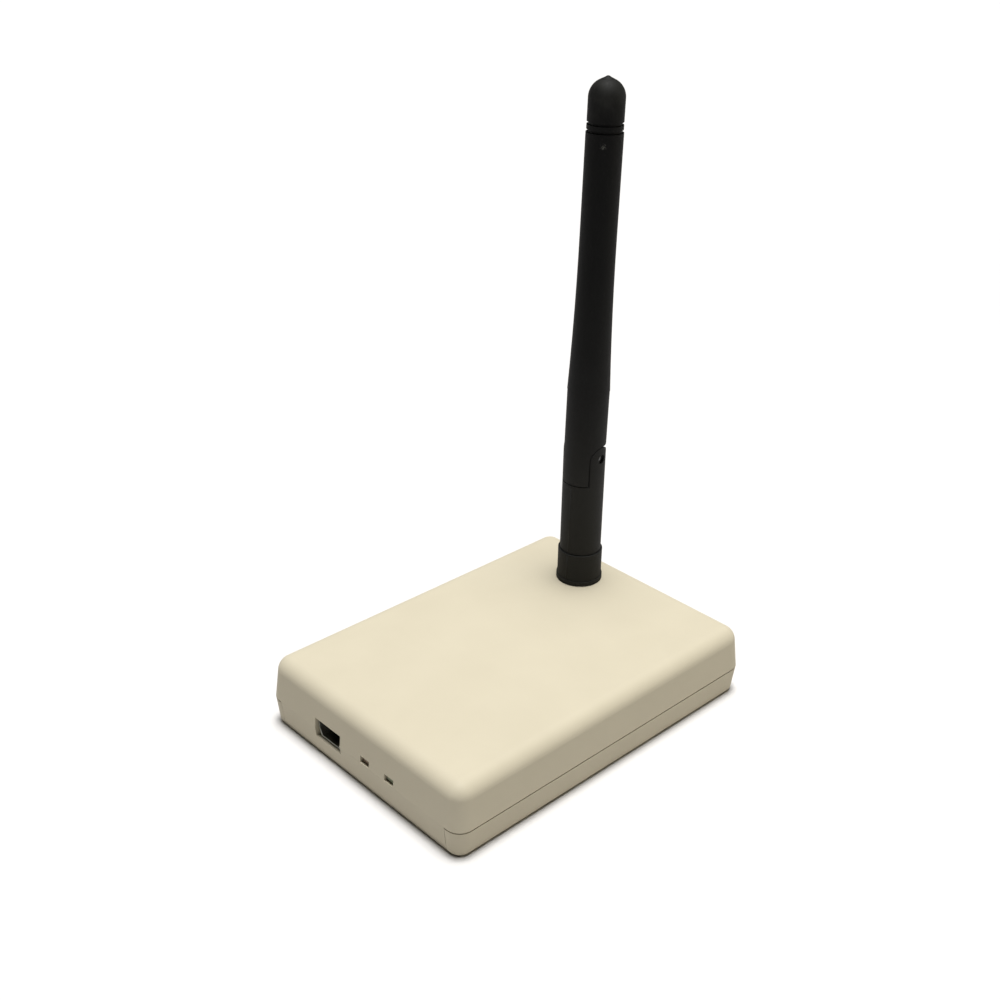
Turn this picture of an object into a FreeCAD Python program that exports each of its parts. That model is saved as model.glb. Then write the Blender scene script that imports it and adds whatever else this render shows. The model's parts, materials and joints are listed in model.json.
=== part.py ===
# Desk-top USB radio transceiver with a tilting stub antenna.
# Millimetres, +Z up. The origin is the middle of the case's underside, +X runs along the case away
# from its USB end, and +Y points at the long side that the antenna stands near.
import FreeCAD, Part
import math
import os
import re
import Sketcher

doc = FreeCAD.newDocument("UsbRadioTransmitter")
sheet = doc.addObject("Spreadsheet::Sheet", "Sizes")
Vector = FreeCAD.Vector

# Driving dimensions in millimetres and degrees
SIZES = {
    # case
    "case_length": 83.4,
    "case_width": 60.2,
    "case_height": 16.0,
    "parting_height": 6.4,
    "side_wall": 2.0,
    "roof_thickness": 2.0,
    "floor_thickness": 1.8,
    "outer_radius": 3.3,
    "inner_corner_cut": 1.1,
    "bottom_edge_radius": 1.2,
    "upper_draft": 5.2,
    "lower_draft": 6.4,
    "seam_groove_height": 0.25,
    "seam_groove_depth": 0.6,
    "lip_height": 1.2,
    "lip_thickness": 0.8,
    "end_panel_width": 52.0,
    "end_panel_bottom": 1.1,
    "fit_gap": 0.1,
    # hooks at the USB end and screws at the far end
    "hook_width": 4.0,
    "hook_thickness": 1.6,
    "hook_top": 5.0,
    "hook_nose_height": 1.4,
    "hook_reach": 0.7,
    "post_inset": 6.4,
    "post_width": 6.4,
    "screw_shank_diameter": 2.4,
    "screw_hole_play": 0.4,
    "screw_head_diameter": 4.4,
    "screw_head_slope": 45.0,
    "screw_head_sink": 0.15,
    "screw_length": 10.0,
    "screw_tip_clearance": 0.6,
    "thread_gap": 0.02,
    "screw_cross_length": 2.4,
    "screw_cross_width": 0.6,
    "screw_cross_depth": 0.9,
    # circuit board
    "board_lift": 1.3,
    "board_thickness": 1.6,
    "board_edge_gap": 0.4,
    "board_rest_spacing": 40.0,
    "board_rest_width": 4.0,
    "board_rest_inset": 1.0,
    "clamp_rib_thickness": 1.2,
    # mini-USB socket and its opening
    "usb_offset": 9.85,
    "usb_window_width": 8.3,
    "usb_window_height": 4.5,
    "usb_recess": 0.8,
    "usb_shell_width": 7.7,
    "usb_shell_height": 3.9,
    "usb_shell_depth": 9.2,
    "usb_shell_thickness": 0.35,
    "usb_shell_slant": 0.8,
    "usb_tongue_width": 4.4,
    "usb_tongue_thickness": 0.9,
    "usb_tongue_length": 5.2,
    "usb_back_depth": 2.4,
    "usb_contact_length": 4.6,
    "usb_contact_width": 0.35,
    "usb_contact_pitch": 0.8,
    "usb_contact_thickness": 0.12,
    "wall_gap": 0.15,
    # indicator lights and their windows
    "light_window_width": 2.7,
    "light_window_height": 1.5,
    "light_height": 7.35,
    "red_light_offset": -2.3,
    "green_light_offset": -9.8,
    "light_width": 2.2,
    "light_thickness": 1.2,
    "light_recess": 0.6,
    "light_length": 3.6,
    "light_holder_width": 3.4,
    "light_holder_depth": 3.0,
    "light_holder_height": 4.0,
    # parts on the board
    "chip_thickness": 1.2,
    "chip_standoff": 0.1,
    "lead_width": 0.4,
    "lead_thickness": 0.2,
    "lead_reach": 1.0,
    "microcontroller_along": -3.5,
    "microcontroller_side_distance": 20.1,
    "microcontroller_width": 9.0,
    "microcontroller_corner": 0.6,
    "usb_chip_end_distance": 21.0,
    "usb_chip_across": 10.0,
    "usb_chip_length": 10.2,
    "usb_chip_width": 5.3,
    "usb_chip_lead_pitch": 1.3,
    "radio_chip_width": 4.0,
    "radio_chip_thickness": 0.9,
    "shield_distance": 22.0,
    "shield_length": 20.0,
    "shield_width": 16.0,
    "shield_height": 3.0,
    "shield_sheet": 0.25,
    "crystal_distance": 10.0,
    "crystal_length": 5.0,
    "crystal_width": 3.2,
    "crystal_height": 1.2,
    "crystal_lid_inset": 0.4,
    "crystal_lid_height": 0.2,
    "regulator_end_distance": 21.0,
    "regulator_side_distance": 20.6,
    "regulator_length": 6.5,
    "regulator_width": 3.5,
    "regulator_height": 1.6,
    "regulator_tab_width": 3.2,
    "capacitor_length": 7.3,
    "capacitor_width": 4.3,
    "capacitor_height": 2.8,
    "capacitor_spacing": 6.0,
    "capacitor_distance": 8.2,
    # threaded antenna jack on the board
    "antenna_end_distance": 11.4,
    "antenna_side_distance": 20.7,
    "jack_flange_width": 6.4,
    "jack_flange_height": 1.8,
    "jack_barrel_diameter": 6.2,
    "jack_bore_diameter": 4.1,
    "contact_tail_length": 2.3,
    "contact_hole_play": 0.3,
    "jack_hole_play": 0.7,
    "contact_diameter": 1.27,
    "contact_bore_diameter": 0.94,
    "contact_bore_depth": 3.4,
    # coupling nut and plug
    "nut_sleeve_height": 7.7,
    "nut_sleeve_diameter": 10.05,
    "nut_lip_diameter": 10.45,
    "nut_lip_height": 1.1,
    "nut_diameter": 8.4,
    "nut_seat_gap": 0.1,
    "nut_top_drop": 0.05,
    "nut_top_thickness": 1.2,
    "turning_gap": 0.05,
    "plug_diameter": 5.4,
    "plug_rim_diameter": 5.9,
    "plug_rim_height": 1.0,
    "plug_length": 10.0,
    "plug_face_gap": 0.05,
    "plug_pin_diameter": 0.9,
    "plug_pin_reach": 2.6,
    # antenna stub and hinge
    "swivel_at_rest": 8.0,
    "lean_at_rest": 1.4,
    "stub_diameter": 9.3,
    "stub_gap": 0.2,
    "stub_shoulder": 25.0,
    "hinge_height": 31.2,
    "ear_width": 5.6,
    "ear_root_depth": 1.0,
    "tongue_thickness": 4.2,
    "tongue_side_gap": 0.15,
    "heel_gap": 0.12,
    "tongue_toe_gap": 0.35,
    "ear_gap": 0.15,
    "hinge_pin_diameter": 2.0,
    "hinge_pin_length": 8.0,
    "lead_diameter": 1.4,
    "lead_hole_diameter": 1.8,
    # folding part of the antenna, heights above the top of the case
    "knuckle_diameter": 9.15,
    "knuckle_top": 46.5,
    "knuckle_spigot_length": 7.0,
    "tube_foot_diameter": 9.25,
    "tube_diameter": 7.65,
    "tube_bore_diameter": 6.0,
    "flare_top": 80.75,
    "tube_top": 100.75,
    "cap_diameter": 7.45,
    "cap_groove_depth": 0.35,
    "cap_groove_width": 0.6,
    "cap_ring_width": 0.9,
    "cap_dome_rise": 3.6,
    "antenna_top": 111.1,
    "cap_spigot_length": 6.0,
    "spigot_gap": 0.05,
    "radiator_diameter": 4.6,
    "radiator_bore_diameter": 3.0,
}

for row, (alias, amount) in enumerate(SIZES.items(), start=1):
    sheet.set(f"A{row}", alias.replace("_", " "))
    sheet.set(f"B{row}", str(amount))
    sheet.setAlias(f"B{row}", alias)
doc.recompute()

# Places that several pieces share, each worked out from the driving dimensions
BOARD_BOTTOM = "(floor_thickness + board_lift)"
BOARD_TOP = f"({BOARD_BOTTOM} + board_thickness)"
POST_ALONG = "(case_length / 2 - post_inset)"
POST_ACROSS = "(case_width / 2 - post_inset)"
SCREW_PLACES = [(POST_ALONG, POST_ACROSS), (POST_ALONG, f"-{POST_ACROSS}")]
HOOK_SIDES = (POST_ACROSS, f"-{POST_ACROSS}")
INNER_LENGTH = "(case_length - 2 * side_wall)"
INNER_WIDTH = "(case_width - 2 * side_wall)"
BOARD_DRAFT = f"((parting_height - {BOARD_BOTTOM}) * tan(lower_draft))"
BOARD_LENGTH = f"({INNER_LENGTH} - 2 * board_edge_gap - 2 * {BOARD_DRAFT})"
BOARD_WIDTH = f"({INNER_WIDTH} - 2 * board_edge_gap - 2 * {BOARD_DRAFT})"
NOTCH_ALONG = f"({POST_ALONG} - post_width / 2 - board_edge_gap)"
NOTCH_ACROSS = f"({POST_ACROSS} - post_width / 2 - board_edge_gap)"
REST_ACROSS = f"({BOARD_WIDTH} / 2 - board_rest_inset - board_rest_width / 2)"
END_WALL_INSIDE = "(-case_length / 2 + side_wall)"
END_WALL_FOOT = "((parting_height - end_panel_bottom) * tan(lower_draft))"
HOLDER_FRONT = f"({END_WALL_INSIDE} + (parting_height - {BOARD_TOP}) * tan(lower_draft) + wall_gap)"
SOCKET_FRONT = "(-case_length / 2 + usb_recess)"
LIGHT_FRONT = "(-case_length / 2 + light_recess)"
USB_CENTRE = f"({BOARD_TOP} + usb_shell_height / 2)"
SCREW_HEAD_HEIGHT = "((screw_head_diameter - screw_shank_diameter) / 2 / tan(screw_head_slope))"
SCREW_END = "(screw_head_sink + screw_length)"
ANTENNA_ALONG = "(case_length / 2 - antenna_end_distance)"
ANTENNA_ACROSS = "(case_width / 2 - antenna_side_distance)"
SLEEVE_TOP = "(case_height + nut_sleeve_height)"
NUT_TOP = f"({SLEEVE_TOP} - nut_top_drop)"
PLUG_BOTTOM = f"({NUT_TOP} - nut_top_thickness - 2 * turning_gap - plug_rim_height)"
PLUG_TOP = f"({PLUG_BOTTOM} + plug_length)"
JACK_TOP = f"({PLUG_BOTTOM} - plug_face_gap)"
STUB_BOTTOM = f"({SLEEVE_TOP} + stub_gap)"
SHOULDER = "(case_height + stub_shoulder)"
HINGE = "(case_height + hinge_height)"
TONGUE_DROP = "(hinge_height - stub_shoulder)"
SLOT_WIDTH = "(tongue_thickness + 2 * tongue_side_gap)"
MICROCONTROLLER_ACROSS = "(-case_width / 2 + microcontroller_side_distance)"
REGULATOR_ACROSS = "(-case_width / 2 + regulator_side_distance)"
THROUGH_STUB = "2 * stub_diameter"
THROUGH_KNUCKLE = "2 * knuckle_diameter"

USB_CONTACTS = 5
CHIP_LEADS_A_SIDE = 7

# Smallest volume, slope and height that still tell two things apart
LEAST_CUT = 1e-6
FLAT_SLOPE = 0.999
STEEP_SLOPE = 0.9
SAME_HEIGHT = 1e-4


def bind(text):
    """Turns the aliases in a formula into references to the sheet."""
    return re.sub(r"[a-z]+(?:_[a-z]+)+", lambda word: "Sizes." + word.group(0), text)


def value(text):
    """The number that a formula gives now."""
    return float(sheet.evalExpression(bind(text)))


PIECES = []


def piece(shape_object, name):
    """Names an object as one finished piece of the product."""
    shape_object.Label = name
    PIECES.append(shape_object)


# Sketches and features


def new_body(name):
    body = doc.addObject("PartDesign::Body", name.title().replace("_", ""))
    body.Label = name
    return body


def new_sketch(body, name, role="XY_Plane", offset="0"):
    sketch = body.newObject("Sketcher::SketchObject", name)
    plane = [item for item in body.Origin.OriginFeatures if item.Role == role][0]
    sketch.AttachmentSupport = [(plane, "")]
    sketch.MapMode = "FlatFace"
    sketch.setExpression("AttachmentOffset.Base.z", bind(offset))
    return sketch


def fix_point(sketch, geometry, position, across, up):
    """Holds a point of a sketch at two formulas."""
    for kind, formula in (("DistanceX", across), ("DistanceY", up)):
        number = sketch.addConstraint(Sketcher.Constraint(kind, geometry, position, value(formula)))
        sketch.setExpression(f"Constraints[{number}]", bind(formula))


def draw_outline(sketch, corners):
    """Draws a closed outline. A corner is (across, up) or (across, up, radius, side), where the edge
    that leaves it is an arc with its centre on the left (side 1) or right (side -1) of its chord."""
    first = sketch.GeometryCount
    count = len(corners)
    places = [Vector(value(corner[0]), value(corner[1]), 0) for corner in corners]
    for index, corner in enumerate(corners):
        start, end = places[index], places[(index + 1) % count]
        if len(corner) == 2:
            sketch.addGeometry(Part.LineSegment(start, end), False)
            continue
        radius = value(corner[2])
        chord = end - start
        left = Vector(-chord.y, chord.x, 0).normalize()
        height = math.sqrt(max(radius ** 2 - (chord.Length / 2) ** 2, 0))
        centre = start + chord / 2 + left * height * corner[3]
        middle = centre + (start + chord / 2 - left * corner[3] * radius - centre).normalize() * radius
        sketch.addGeometry(Part.Arc(start, middle, end), False)
    for index, corner in enumerate(corners):
        geometry = first + index
        following = first + (index + 1) % count
        clockwise = len(corner) == 4 and corner[3] < 0
        after_clockwise = len(corners[(index + 1) % count]) == 4 and corners[(index + 1) % count][3] < 0
        end = 1 if clockwise else 2
        start_of_next = 2 if after_clockwise else 1
        sketch.addConstraint(Sketcher.Constraint("Coincident", geometry, end, following, start_of_next))
    for index, corner in enumerate(corners):
        geometry = first + index
        clockwise = len(corner) == 4 and corner[3] < 0
        fix_point(sketch, geometry, 2 if clockwise else 1, corner[0], corner[1])
        if len(corner) == 4:
            constraint = Sketcher.Constraint("Radius", geometry, value(corner[2]))
            number = sketch.addConstraint(constraint)
            sketch.setExpression(f"Constraints[{number}]", bind(corner[2]))


def draw_rectangle(sketch, width, height, across="0", up="0"):
    draw_outline(sketch, [
        (f"{across} - ({width}) / 2", f"{up} - ({height}) / 2"),
        (f"{across} + ({width}) / 2", f"{up} - ({height}) / 2"),
        (f"{across} + ({width}) / 2", f"{up} + ({height}) / 2"),
        (f"{across} - ({width}) / 2", f"{up} + ({height}) / 2"),
    ])


def draw_rounded_rectangle(sketch, width, height, radius):
    half_width, half_height = f"({width}) / 2", f"({height}) / 2"
    draw_outline(sketch, [
        (f"-{half_width} + {radius}", f"-{half_height}"),
        (f"{half_width} - {radius}", f"-{half_height}", radius, 1),
        (half_width, f"-{half_height} + {radius}"),
        (half_width, f"{half_height} - {radius}", radius, 1),
        (f"{half_width} - {radius}", half_height),
        (f"-{half_width} + {radius}", half_height, radius, 1),
        (f"-{half_width}", f"{half_height} - {radius}"),
        (f"-{half_width}", f"-{half_height} + {radius}", radius, 1),
    ])


def draw_inner_outline(sketch, spread="0"):
    """The case's inside, grown by a spread on all sides. Its corners are cut off straight."""
    half_length = f"({INNER_LENGTH} / 2 + {spread})"
    half_width = f"({INNER_WIDTH} / 2 + {spread})"
    cut = f"(inner_corner_cut + (2 - sqrt(2)) * {spread})"
    draw_outline(sketch, [
        (f"-{half_length} + {cut}", f"-{half_width}"),
        (f"{half_length} - {cut}", f"-{half_width}"),
        (half_length, f"-{half_width} + {cut}"),
        (half_length, f"{half_width} - {cut}"),
        (f"{half_length} - {cut}", half_width),
        (f"-{half_length} + {cut}", half_width),
        (f"-{half_length}", f"{half_width} - {cut}"),
        (f"-{half_length}", f"-{half_width} + {cut}"),
    ])


def draw_circles(sketch, diameter, centres):
    for across, up in centres:
        circle = Part.Circle(Vector(value(across), value(up), 0), Vector(0, 0, 1), value(diameter) / 2)
        geometry = sketch.addGeometry(circle, False)
        fix_point(sketch, geometry, 3, across, up)
        number = sketch.addConstraint(Sketcher.Constraint("Diameter", geometry, value(diameter)))
        sketch.setExpression(f"Constraints[{number}]", bind(diameter))


def extrude(body, kind, sketch, length, reverse=False, both_ways=False, taper=None):
    feature = body.newObject("PartDesign::" + kind, kind)
    feature.Profile = sketch
    feature.setExpression("Length", bind(length))
    feature.Reversed = reverse
    if both_ways:
        feature.SideType = "Symmetric"
    if taper:
        feature.setExpression("TaperAngle", bind(taper))
    sketch.Visibility = False
    doc.recompute()
    return feature


def pad(body, sketch, length, **options):
    return extrude(body, "Pad", sketch, length, **options)


def pocket(body, sketch, length, **options):
    """Cuts a sketch out of a body, and checks that something was cut."""
    before = body.Shape.Volume
    feature = extrude(body, "Pocket", sketch, length, **options)
    if body.Shape.Volume > before - LEAST_CUT:
        raise RuntimeError(f"{sketch.Label} of {body.Label} cuts nothing")
    return feature


def turn(body, name, corners):
    """Turns a half profile, given as (radius, height) corners, about the body's Z axis."""
    sketch = new_sketch(body, name, "XZ_Plane")
    draw_outline(sketch, corners)
    feature = body.newObject("PartDesign::Revolution", name + "Turned")
    feature.Profile = sketch
    feature.ReferenceAxis = (sketch, ["V_Axis"])
    feature.Angle = 360
    doc.recompute()
    return feature


def flat_faces(feature, height):
    """The names of a feature's flat faces at a given height."""
    return [
        f"Face{index}" for index, face in enumerate(feature.Shape.Faces, start=1)
        if face.Surface.TypeId == "Part::GeomPlane" and abs(face.normalAt(0, 0).z) > FLAT_SLOPE
        and abs(face.CenterOfMass.z - value(height)) < SAME_HEIGHT
    ]


def corner_edges(feature):
    """The names of a feature's edges that climb its corners."""
    return [
        f"Edge{index}" for index, edge in enumerate(feature.Shape.Edges, start=1)
        if abs(edge.tangentAt(edge.FirstParameter).z) > STEEP_SLOPE
    ]


def fillet(body, feature, names, radius):
    rounding = body.newObject("PartDesign::Fillet", "Fillet")
    rounding.Base = (feature, names)
    rounding.setExpression("Radius", bind(radius))
    doc.recompute()


def four_places(along, across):
    return [(f"{sign_a}{along}", f"{sign_b}{across}") for sign_a in ("", "-") for sign_b in ("", "-")]


# Part primitives


def place(shape_object, along="0", across="0", up="0"):
    for axis, formula in (("x", along), ("y", across), ("z", up)):
        shape_object.setExpression(f"Placement.Base.{axis}", bind(formula))
    return shape_object


def block(name, length, width, height, along, across, up):
    """A box centred on (along, across) that stands on the height up."""
    box = doc.addObject("Part::Box", name)
    box.setExpression("Length", bind(length))
    box.setExpression("Width", bind(width))
    box.setExpression("Height", bind(height))
    return place(box, f"{along} - ({length}) / 2", f"{across} - ({width}) / 2", up)


def rod(name, diameter, height, along, across, up):
    cylinder = doc.addObject("Part::Cylinder", name)
    cylinder.setExpression("Radius", bind(f"({diameter}) / 2"))
    cylinder.setExpression("Height", bind(height))
    return place(cylinder, along, across, up)


def cone(name, lower_diameter, upper_diameter, height, along, across, up):
    shape = doc.addObject("Part::Cone", name)
    shape.setExpression("Radius1", bind(f"({lower_diameter}) / 2"))
    shape.setExpression("Radius2", bind(f"({upper_diameter}) / 2"))
    shape.setExpression("Height", bind(height))
    return place(shape, along, across, up)


def join(name, parts):
    fuse = doc.addObject("Part::MultiFuse", name)
    fuse.Shapes = parts
    return fuse


def group(name, parts):
    compound = doc.addObject("Part::Compound", name)
    compound.Links = parts
    return compound


def remove(name, base, tool):
    cut = doc.addObject("Part::Cut", name)
    cut.Base = base
    cut.Tool = tool
    return cut


# Case


def make_top_cover():
    body = new_body("top_cover")
    outline = new_sketch(body, "TopOutline", offset="parting_height")
    draw_rectangle(outline, "case_length", "case_width")
    shell = pad(body, outline, "case_height - parting_height", taper="-upper_draft")
    fillet(body, shell, corner_edges(shell) + flat_faces(shell, "case_height"), "outer_radius")

    cavity = new_sketch(body, "TopCavity", offset="parting_height")
    draw_inner_outline(cavity)
    depth = "case_height - parting_height - roof_thickness"
    pocket(body, cavity, depth, reverse=True, taper="-upper_draft")

    # rebate over the lower shell's lip
    rebate = new_sketch(body, "LipRebate", offset="parting_height")
    draw_inner_outline(rebate, "(lip_thickness + fit_gap)")
    pocket(body, rebate, "lip_height + fit_gap", reverse=True)

    bosses = new_sketch(body, "ScrewBosses", offset="parting_height")
    for along, across in SCREW_PLACES:
        draw_rectangle(bosses, "post_width", "post_width", along, across)
    pad(body, bosses, f"{depth} + roof_thickness / 2")
    ribs = new_sketch(body, "ClampRibs", offset=f"{BOARD_TOP} + fit_gap")
    for along, across in four_places("board_rest_spacing / 2", REST_ACROSS):
        draw_rectangle(ribs, "clamp_rib_thickness", "board_rest_width", along, across)
    pad(body, ribs, f"case_height - roof_thickness / 2 - {BOARD_TOP} - fit_gap")
    pilots = new_sketch(body, "ScrewPilots", offset="parting_height")
    draw_circles(pilots, "screw_shank_diameter + 2 * thread_gap", SCREW_PLACES)
    pocket(body, pilots, f"{SCREW_END} + screw_tip_clearance - parting_height", reverse=True)

    # USB end wall, which runs down in front of the lower shell's floor
    end_wall = new_sketch(body, "EndWall", "XZ_Plane")
    draw_outline(end_wall, [
        ("-case_length / 2", "parting_height"),
        (f"-case_length / 2 + {END_WALL_FOOT}", "end_panel_bottom"),
        (f"{END_WALL_INSIDE} + {END_WALL_FOOT}", "end_panel_bottom"),
        (END_WALL_INSIDE, "parting_height"),
        (END_WALL_INSIDE, "parting_height + lip_height + roof_thickness"),
        ("-case_length / 2 + side_wall / 2", "parting_height + lip_height + roof_thickness"),
        ("-case_length / 2 + side_wall / 2", "parting_height"),
    ])
    pad(body, end_wall, "end_panel_width", both_ways=True)
    for number, across in enumerate(HOOK_SIDES, start=1):
        slot = new_sketch(body, f"HookSlot{number}", "XZ_Plane", offset=across)
        draw_rectangle(slot, f"hook_reach + fit_gap + {END_WALL_FOOT} + fit_gap",
                       "hook_nose_height + 2 * fit_gap",
                       f"{END_WALL_INSIDE} + ({END_WALL_FOOT} - hook_reach) / 2",
                       "hook_top - hook_nose_height / 2")
        pocket(body, slot, "hook_width + 2 * fit_gap", both_ways=True)

    windows = new_sketch(body, "EndWindows", "YZ_Plane", offset="-case_length / 2 - side_wall")
    draw_rectangle(windows, "usb_window_width", "usb_window_height", "usb_offset", USB_CENTRE)
    for offset in ("red_light_offset", "green_light_offset"):
        draw_rectangle(windows, "light_window_width", "light_window_height", offset, "light_height")
    pocket(body, windows, "3 * side_wall", reverse=True)

    jack_hole = new_sketch(body, "JackHole", offset="parting_height")
    draw_circles(jack_hole, "jack_barrel_diameter + jack_hole_play", [(ANTENNA_ALONG, ANTENNA_ACROSS)])
    pocket(body, jack_hole, "case_height", reverse=True)
    piece(body, "top_cover")


def make_bottom_cover():
    body = new_body("bottom_cover")
    outline = new_sketch(body, "BottomOutline", offset="parting_height")
    draw_rounded_rectangle(outline, "case_length", "case_width", "outer_radius")
    shell = pad(body, outline, "parting_height", reverse=True, taper="-lower_draft")
    fillet(body, shell, flat_faces(shell, "0"), "bottom_edge_radius")

    # shadow line under the upper shell
    groove = new_sketch(body, "SeamGroove", offset="parting_height")
    draw_rectangle(groove, "case_length + side_wall", "case_width + side_wall")
    draw_inner_outline(groove, "(side_wall - seam_groove_depth)")
    pocket(body, groove, "seam_groove_height")

    cavity = new_sketch(body, "BottomCavity", offset="parting_height")
    draw_inner_outline(cavity)
    pocket(body, cavity, "parting_height - floor_thickness", taper="-lower_draft")

    lip = new_sketch(body, "Lip", offset="parting_height")
    draw_inner_outline(lip, "lip_thickness")
    draw_inner_outline(lip)
    pad(body, lip, "lip_height")

    # notch for the upper shell's end wall
    notch = new_sketch(body, "EndNotch", "XZ_Plane")
    draw_outline(notch, [
        ("-case_length / 2 - side_wall", "end_panel_bottom - fit_gap"),
        (f"{END_WALL_INSIDE} + {END_WALL_FOOT} + fit_gap", "end_panel_bottom - fit_gap"),
        (f"{END_WALL_INSIDE} + {END_WALL_FOOT} + fit_gap", "parting_height + 2 * lip_height"),
        ("-case_length / 2 - side_wall", "parting_height + 2 * lip_height"),
    ])
    pocket(body, notch, "end_panel_width + 2 * fit_gap", both_ways=True)

    posts = new_sketch(body, "ScrewPosts", offset="floor_thickness / 2")
    for along, across in SCREW_PLACES:
        draw_rectangle(posts, "post_width", "post_width", along, across)
    pad(body, posts, "parting_height - floor_thickness / 2")
    rests = new_sketch(body, "BoardRests", offset="floor_thickness / 2")
    for along, across in four_places("board_rest_spacing / 2", REST_ACROSS):
        draw_rectangle(rests, "board_rest_width", "board_rest_width", along, across)
    pad(body, rests, f"{BOARD_BOTTOM} - floor_thickness / 2")

    # hooks that catch in the slots of the end wall
    foot = f"({END_WALL_INSIDE} + {END_WALL_FOOT} + 2 * fit_gap)"
    tip = f"({END_WALL_INSIDE} - hook_reach)"
    for number, across in enumerate(HOOK_SIDES, start=1):
        hook = new_sketch(body, f"Hook{number}", "XZ_Plane", offset=across)
        draw_outline(hook, [
            (foot, "floor_thickness / 2"),
            (f"{foot} + hook_thickness", "floor_thickness / 2"),
            (f"{foot} + hook_thickness", "hook_top"),
            (tip, "hook_top"),
            (tip, "hook_top - hook_nose_height"),
            (foot, "hook_top - hook_nose_height"),
        ])
        pad(body, hook, "hook_width", both_ways=True)

    holes = new_sketch(body, "ScrewHoles")
    draw_circles(holes, "screw_shank_diameter + screw_hole_play", SCREW_PLACES)
    pocket(body, holes, "parting_height + lip_height", reverse=True)
    sinks = new_sketch(body, "Countersinks")
    draw_circles(sinks, "screw_head_diameter + screw_hole_play", SCREW_PLACES)
    pocket(body, sinks, SCREW_HEAD_HEIGHT, reverse=True, taper="-screw_head_slope")
    piece(body, "bottom_cover")


def make_cover_screws():
    """Countersunk screws with a cross recess, driven from below."""
    screws = []
    for index, (along, across) in enumerate(SCREW_PLACES, start=1):
        stem_from = f"screw_head_sink + {SCREW_HEAD_HEIGHT}"
        stem = rod(f"shank_{index}", "screw_shank_diameter", f"screw_length - {SCREW_HEAD_HEIGHT}",
                   along, across, stem_from)
        head = cone(f"head_{index}", "screw_head_diameter", "screw_shank_diameter", SCREW_HEAD_HEIGHT,
                    along, across, "screw_head_sink")
        cross = [
            block(f"{bar}_{index}", length, width, "screw_cross_depth", along, across, "screw_head_sink")
            for bar, length, width in (("bar", "screw_cross_length", "screw_cross_width"),
                                       ("crossbar", "screw_cross_width", "screw_cross_length"))
        ]
        blank = join(f"blank_{index}", [stem, head])
        screws.append(remove(f"screw_{index}", blank, join(f"cross_{index}", cross)))
    piece(group("cover_screws", screws), "cover_screws")


# Circuit board and what stands on it


def make_circuit_board():
    body = new_body("circuit_board")
    outline = new_sketch(body, "BoardOutline", offset=BOARD_BOTTOM)
    length, width = f"{BOARD_LENGTH} / 2", f"{BOARD_WIDTH} / 2"
    draw_outline(outline, [
        (f"-{length}", f"-{NOTCH_ACROSS}"),
        (f"-{NOTCH_ALONG}", f"-{NOTCH_ACROSS}"),
        (f"-{NOTCH_ALONG}", f"-{width}"),
        (NOTCH_ALONG, f"-{width}"),
        (NOTCH_ALONG, f"-{NOTCH_ACROSS}"),
        (length, f"-{NOTCH_ACROSS}"),
        (length, NOTCH_ACROSS),
        (NOTCH_ALONG, NOTCH_ACROSS),
        (NOTCH_ALONG, width),
        (f"-{NOTCH_ALONG}", width),
        (f"-{NOTCH_ALONG}", NOTCH_ACROSS),
        (f"-{length}", NOTCH_ACROSS),
    ])
    pad(body, outline, "board_thickness")
    hole = new_sketch(body, "ContactHole", offset=BOARD_BOTTOM)
    draw_circles(hole, "contact_diameter + contact_hole_play", [(ANTENNA_ALONG, ANTENNA_ACROSS)])
    pocket(body, hole, "board_thickness", reverse=True)
    piece(body, "circuit_board")


def make_usb_socket():
    """Mini-USB receptacle: a bent steel shell with slanted lower sides, a plastic back with a tongue,
    and five contact strips on the tongue."""

    def mouth(sketch, inset):
        half = f"(usb_shell_width / 2 - {inset})"
        low = f"({BOARD_TOP} + {inset})"
        high = f"({BOARD_TOP} + usb_shell_height - {inset})"
        waist = f"({BOARD_TOP} + usb_shell_height / 2)"
        draw_outline(sketch, [
            (f"usb_offset - {half} + usb_shell_slant", low),
            (f"usb_offset + {half} - usb_shell_slant", low),
            (f"usb_offset + {half}", waist),
            (f"usb_offset + {half}", high),
            (f"usb_offset - {half}", high),
            (f"usb_offset - {half}", waist),
        ])

    shell = new_body("usb_shell")
    outer = new_sketch(shell, "ShellOutside", "YZ_Plane", offset=SOCKET_FRONT)
    mouth(outer, "0")
    mouth(outer, "usb_shell_thickness")
    pad(shell, outer, "usb_shell_depth")
    piece(shell, "usb_shell")

    insulator = new_body("usb_insulator")
    back_from = f"{SOCKET_FRONT} + usb_shell_depth - usb_back_depth"
    back = new_sketch(insulator, "SocketBack", "YZ_Plane", offset=back_from)
    mouth(back, "(usb_shell_thickness + thread_gap)")
    pad(insulator, back, "usb_back_depth")
    tongue = new_sketch(insulator, "Tongue", "YZ_Plane", offset=back_from)
    draw_rectangle(tongue, "usb_tongue_width", "usb_tongue_thickness", "usb_offset", USB_CENTRE)
    pad(insulator, tongue, "usb_tongue_length", reverse=True)
    piece(insulator, "usb_insulator")

    strips = []
    for index in range(USB_CONTACTS):
        across = f"usb_offset + ({index} - ({USB_CONTACTS} - 1) / 2) * usb_contact_pitch"
        strips.append(block(f"contact_{index}", "usb_contact_length", "usb_contact_width",
                            "usb_contact_thickness", f"({back_from} - usb_contact_length / 2)", across,
                            f"{USB_CENTRE} - usb_tongue_thickness / 2 - usb_contact_thickness"))
    piece(group("usb_contacts", strips), "usb_contacts")


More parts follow.
